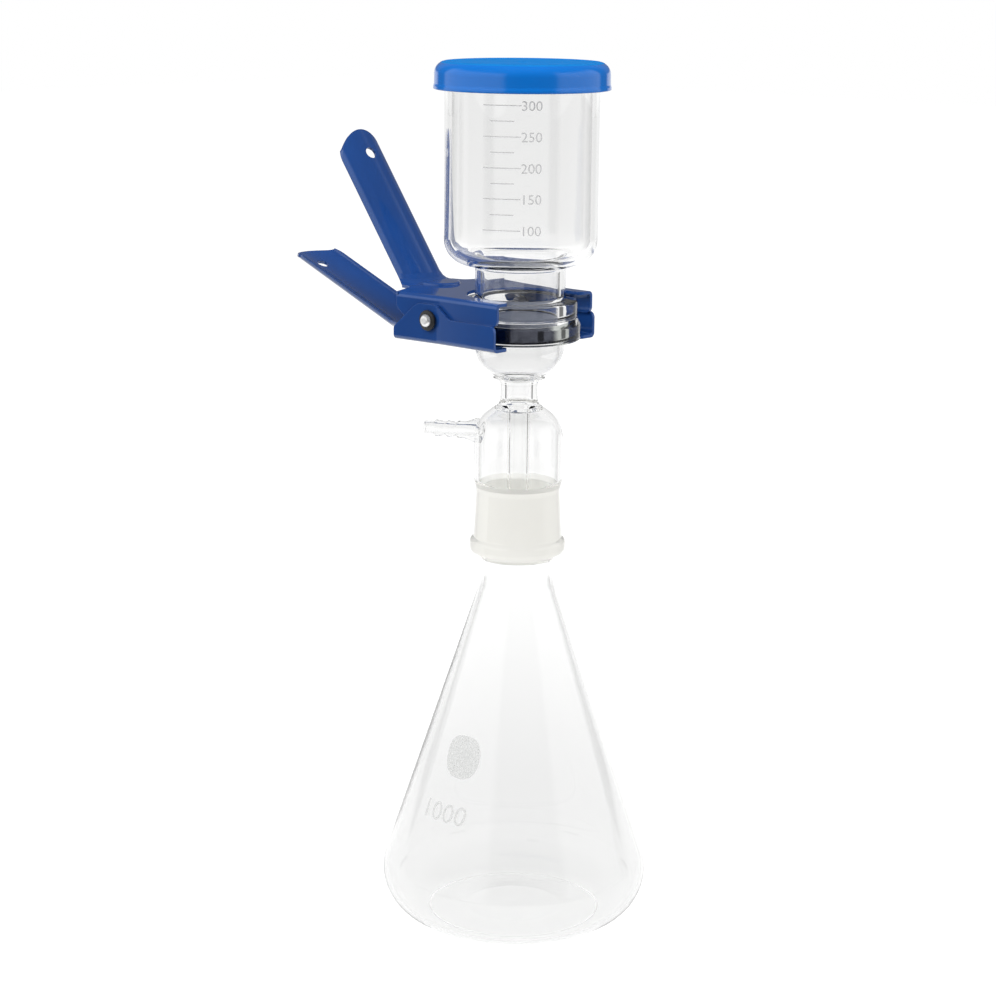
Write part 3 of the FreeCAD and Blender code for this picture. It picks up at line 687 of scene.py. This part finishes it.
def paintFinish():
    mat, tree = newFinish("blueClampCoating")
    place = add(tree, "TexCoord").outputs["Object"]
    cloud = noiseAt(tree, place, paintLook["cloudScale"], 5.0)
    chips = noiseAt(tree, place, paintLook["chipScale"], 3.0)
    peel = noiseAt(tree, place, paintLook["peelScale"], 2.0)
    rounded, turned = edgeTurn(tree, paintLook["edge"])
    edges = ranged(tree, turned, *paintLook["wearSpan"], paintLook["wear"], 0.0)
    chipped = ranged(tree, chips, *paintLook["chipSpan"], paintLook["chip"], 1.0)
    rubbed = calc(tree, "MULTIPLY", edges, chipped)
    shaded = ranged(tree, cloud, *paintLook["shadeSpan"], 0.0, paintLook["shadeShare"])
    base = blendColours(tree, shaded, paintLook["colour"], paintLook["shade"])
    bump = add(tree, "Bump", {
        "Height": peel, "Distance": paintLook["peelDepth"], "Normal": rounded})
    paint = add(tree, "BsdfPrincipled", {
        "Base Color": blendColours(tree, rubbed, base, paintLook["worn"]),
        "Roughness": ranged(tree, cloud, *paintLook["roughSpan"], *paintLook["rough"]),
        "Specular IOR Level": paintLook["specular"], "Specular Tint": paintLook["sheen"],
        "Coat Weight": paintLook["coat"], "Coat Roughness": paintLook["coatRough"],
        "Normal": bump.outputs[0]})
    surfaceOut(tree, paint.outputs[0])
    return mat


def dress(node, finish):
    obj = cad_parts[node]
    for slot in obj.material_slots:
        slot.material = finish
    if not obj.material_slots:
        obj.data.materials.append(finish)


clampPaint = paintFinish()
dress("upper_lever", clampPaint)
dress("lower_lever", clampPaint)
print("clamp levers coated")


# ---- rivets, push-on rings and springs
pivot = {"x": -25.2, "z": 300.3}
hardware = {
    # colour, roughness range, metallic
    "rivet": ((0.95, 0.95, 0.95, 1), (0.3, 0.42), 0.8),
    "ring": ((0.012, 0.012, 0.013, 1), (0.3, 0.5), 0.0),
    "wire": ((0.55, 0.55, 0.56, 1), (0.25, 0.42), 1.0),
    "scratchScale": (60.0, 900.0, 60.0), "scratchDepth": 0.00001, "roughSpan": (0.3, 0.7),
    "spotScale": 500.0, "spotSpan": (0.45, 0.75), "spots": 0.4, "spotShade": 0.55,
}


def metalFinish(name, colour, rough, metallic):
    mat, tree = newFinish(name)
    place = add(tree, "TexCoord").outputs["Object"]
    drawn = add(tree, "Mapping", {"Vector": place, "Scale": hardware["scratchScale"]})
    lines = noiseAt(tree, drawn.outputs[0], 1.0, 5.0)
    spots = noiseAt(tree, place, hardware["spotScale"], 3.0)
    dull = (*[level * hardware["spotShade"] for level in colour[:3]], 1)
    spotted = ranged(tree, spots, *hardware["spotSpan"], 0.0, hardware["spots"])
    bump = add(tree, "Bump", {"Height": lines, "Distance": hardware["scratchDepth"]})
    metal = add(tree, "BsdfPrincipled", {
        "Base Color": blendColours(tree, spotted, colour, dull), "Metallic": metallic,
        "Roughness": ranged(tree, lines, *hardware["roughSpan"], *rough),
        "Normal": bump.outputs[0]})
    surfaceOut(tree, metal.outputs[0])
    return mat


def acrossPivot(side):
    # turned profiles are drawn up Z; this lays them along Y at the pivot, out to one side
    return (Matrix.Translation((pivot["x"] * mm, 0, pivot["z"] * mm))
            @ Matrix.Rotation(radians(-90 * side), 4, "X"))


# the coil sits inside the ear; one leg bears on each lever
spring = {
    "wireRadius": 0.8, "coilRadius": 4.7, "pitch": 1.75, "turns": 3.5, "coilStart": 24.4, "coilSteps": 126,
    "legEnd": -43.0, "lowLeg": 291.3, "highLeg": 309.1, "legRun": 6, "legRise": 1.4,
    "hook": 50.0, "hookSteps": 8,
}


def wirePiece(name, points, finish, body, nodes=()):
    curve = bpy.data.curves.new(name, "CURVE")
    curve.dimensions, curve.bevel_depth, curve.bevel_resolution = "3D", spring["wireRadius"] * mm, 5
    curve.use_fill_caps = True
    line = curve.splines.new("POLY")
    line.points.add(len(points) - 1)
    for spot, p in zip(line.points, points):
        spot.co = (*(Vector(p) * mm), 1)
    line.use_smooth = True
    mesh = evaluated(placed("wire", curve), name)
    for face in mesh.polygons:
        face.use_smooth = True
    mesh.materials.clear()
    addPiece(mesh, [finish], body, nodes)


def coilPoint(turn, side):
    # left-handed coil about the pivot, starting at its lowest point
    angle = radians(90 - 360 * turn)
    return (pivot["x"] + spring["coilRadius"] * cos(angle),
            side * (spring["coilStart"] + spring["pitch"] * turn),
            pivot["z"] - spring["coilRadius"] * sin(angle))


def makeSpring(side, tag, finish):
    turns, steps, hookSteps = spring["turns"], spring["coilSteps"], spring["hookSteps"]
    end, run, rise = spring["legEnd"], spring["legRun"], spring["legRise"]
    startY = side * spring["coilStart"]
    endY = side * (spring["coilStart"] + spring["pitch"] * turns)
    coil = [coilPoint(turns * k / steps, side) for k in range(steps + 1)]
    low = [(end, startY, spring["lowLeg"]), (end + run, startY, spring["lowLeg"] + rise)]
    wirePiece("spring_coil_" + tag, low + coil, finish, "glassware", ["torsion_spring_" + tag])
    hook = [coilPoint(turns - spring["hook"] / 360 * (1 - k / hookSteps), side)
            for k in range(hookSteps + 1)]
    high = [(end + run, endY, spring["highLeg"] - rise), (end, endY, spring["highLeg"])]
    wirePiece("spring_leg_" + tag, hook + high, finish, "upper_lever")


def makeHardware():
    bright = metalFinish("brightRivetSteel", *hardware["rivet"])
    black = metalFinish("blackRingSteel", *hardware["ring"])
    drawn = metalFinish("springWire", *hardware["wire"])
    for side, tag in ((-1, "front"), (1, "back")):
        rivet = turnedMesh("rivet_%s_pin" % tag, [
            (0, 21.5), (4.2, 21.5, 0.5), (4.2, 22.7), (3.0, 22.7), (3.0, 40.0, 1.6), (0, 40.0)], segments=64)
        ring = turnedMesh("ring_%s_washer" % tag, [
            (3.0, 37.25), (4.9, 36.75, 0.2), (4.9, 37.85, 0.4), (3.0, 38.35)], segments=64)
        for mesh in (rivet, ring):
            mesh.transform(acrossPivot(side))
        addPiece(rivet, [bright], "glassware", ["rivet_" + tag])
        addPiece(ring, [black], "glassware", ["retaining_ring_" + tag])
        makeSpring(side, tag, drawn)


makeHardware()
print("rivets, rings and springs made")


# ---- printed scale on the funnel, and a plain number on the flask
# across, up and z are in millimetres; angles are in degrees from the camera's side
scaleLook = {
    "radius": 36.4, "lift": 0.05, "marks": {300: 402.6, 250: 388.5, 200: 374.3, 150: 360.2, 100: 345.8},
    "long": (-28.9, -0.4), "short": (-23.2, -5.3), "line": 0.42, "linePieces": 16,
    "from": -0.6, "height": 4.6, "squeeze": 1.05,
    "ink": (0.40, 0.40, 0.41, 1), "cover": 0.68, "patchScale": 900.0,
}
numberLook = {
    "text": "1000", "height": 9.6, "squeeze": 1.06, "z": 61.0, "from": -56.0, "lift": 0.06,
    "enamel": (0.52, 0.53, 0.52, 1), "cover": 0.42, "patchScale": 700.0,
}
# a plain oval spot of enamel to write on
markSpot = {
    "z": 92.0, "from": -35.0, "size": (19.0, 21.0), "power": 2.4, "rows": 40, "halfColumns": 8,
    "together": 1e-6,
}
digitLook = {"capHeight": 0.729, "curveSteps": 5}
inkLook = {"patchSpan": (0.3, 0.6), "thin": 0.75, "roughSpan": (0.3, 0.7), "rough": (0.45, 0.75)}


def onFunnel(across, up, z, angle):
    turn = radians(studio["azimuth"] + angle) + across / scaleLook["radius"]
    r = scaleLook["radius"] + scaleLook["lift"]
    return Vector((r * sin(turn), -r * cos(turn), z + up)) * mm


def onFlask(across, up, z, angle):
    high = z + up * cos(flaskLean)
    r = flaskCorner - flask["slope"] * high + numberLook["lift"]
    turn = radians(studio["azimuth"] + angle) + across / r
    return Vector((r * sin(turn), -r * cos(turn), high)) * mm


def layDigits(bm, text, look, place, z, angle):
    curve = bpy.data.curves.new("digits", "FONT")
    curve.body, curve.size = text, 1.0 / digitLook["capHeight"]
    curve.resolution_u = digitLook["curveSteps"]
    flat = evaluated(placed("digits", curve), "digits")
    high = look["height"]
    wide = high * look["squeeze"]
    spots = [bm.verts.new(place(v.co.x * wide, v.co.y * high, z, angle)) for v in flat.vertices]
    for face in flat.polygons:
        bm.faces.new([spots[i] for i in face.vertices])


def layLine(bm, z, span):
    pieces, half = scaleLook["linePieces"], scaleLook["line"] / 2
    rows = []
    for k in range(pieces + 1):
        angle = span[0] + (span[1] - span[0]) * k / pieces
        rows.append([bm.verts.new(onFunnel(0, up, z, angle)) for up in (-half, half)])
    layRows(bm, rows)


def layRows(bm, rows):
    for a, b in zip(rows, rows[1:]):
        for i in range(len(a) - 1):
            bm.faces.new((a[i], b[i], b[i + 1], a[i + 1]))


def inkFinish(name, colour, cover, patchScale):
    mat, tree = newFinish(name)
    place = add(tree, "TexCoord").outputs["Object"]
    grain = noiseAt(tree, place, patchScale, 4.0)
    rough = ranged(tree, grain, *inkLook["roughSpan"], *inkLook["rough"])
    ink = add(tree, "BsdfPrincipled", {"Base Color": colour, "Roughness": rough})
    clear = add(tree, "BsdfTransparent")
    share = ranged(tree, grain, *inkLook["patchSpan"], cover * inkLook["thin"], cover)
    surfaceOut(tree, add(tree, "MixShader", {0: share, 1: clear.outputs[0], 2: ink.outputs[0]}).outputs[0])
    return mat


def makeScale():
    bm = bmesh.new()
    marks = sorted(scaleLook["marks"].items())
    for amount, z in marks:
        layLine(bm, z, scaleLook["long"])
        layDigits(bm, str(amount), scaleLook, onFunnel, z - scaleLook["height"] / 2, scaleLook["from"])
    for lower, upper in zip(marks, marks[1:]):
        layLine(bm, (lower[1] + upper[1]) / 2, scaleLook["short"])
    ink = inkFinish("greyScaleInk", scaleLook["ink"], scaleLook["cover"], scaleLook["patchScale"])
    addPiece(finishedMesh(bm, "funnel_graduations"), [ink], "glassware")


def makeNumber():
    bm = bmesh.new()
    layDigits(bm, numberLook["text"], numberLook, onFlask, numberLook["z"], numberLook["from"])
    width, height = markSpot["size"]
    steps, half, power = markSpot["rows"], markSpot["halfColumns"], markSpot["power"]
    rows = []
    for j in range(steps + 1):
        up = -height / 2 * cos(pi * j / steps)
        reach = width / 2 * max(0.0, 1 - abs(2 * up / height) ** power) ** (1 / power)
        rows.append([bm.verts.new(onFlask(reach * (i / half - 1), up, markSpot["z"], markSpot["from"]))
                     for i in range(2 * half + 1)])
    layRows(bm, rows)
    bmesh.ops.remove_doubles(bm, verts=bm.verts, dist=markSpot["together"])
    enamel = inkFinish("paleEnamel", numberLook["enamel"], numberLook["cover"], numberLook["patchScale"])
    addPiece(finishedMesh(bm, "flask_number"), [enamel], "glassware")


makeScale()
makeNumber()
print("scale and number printed")
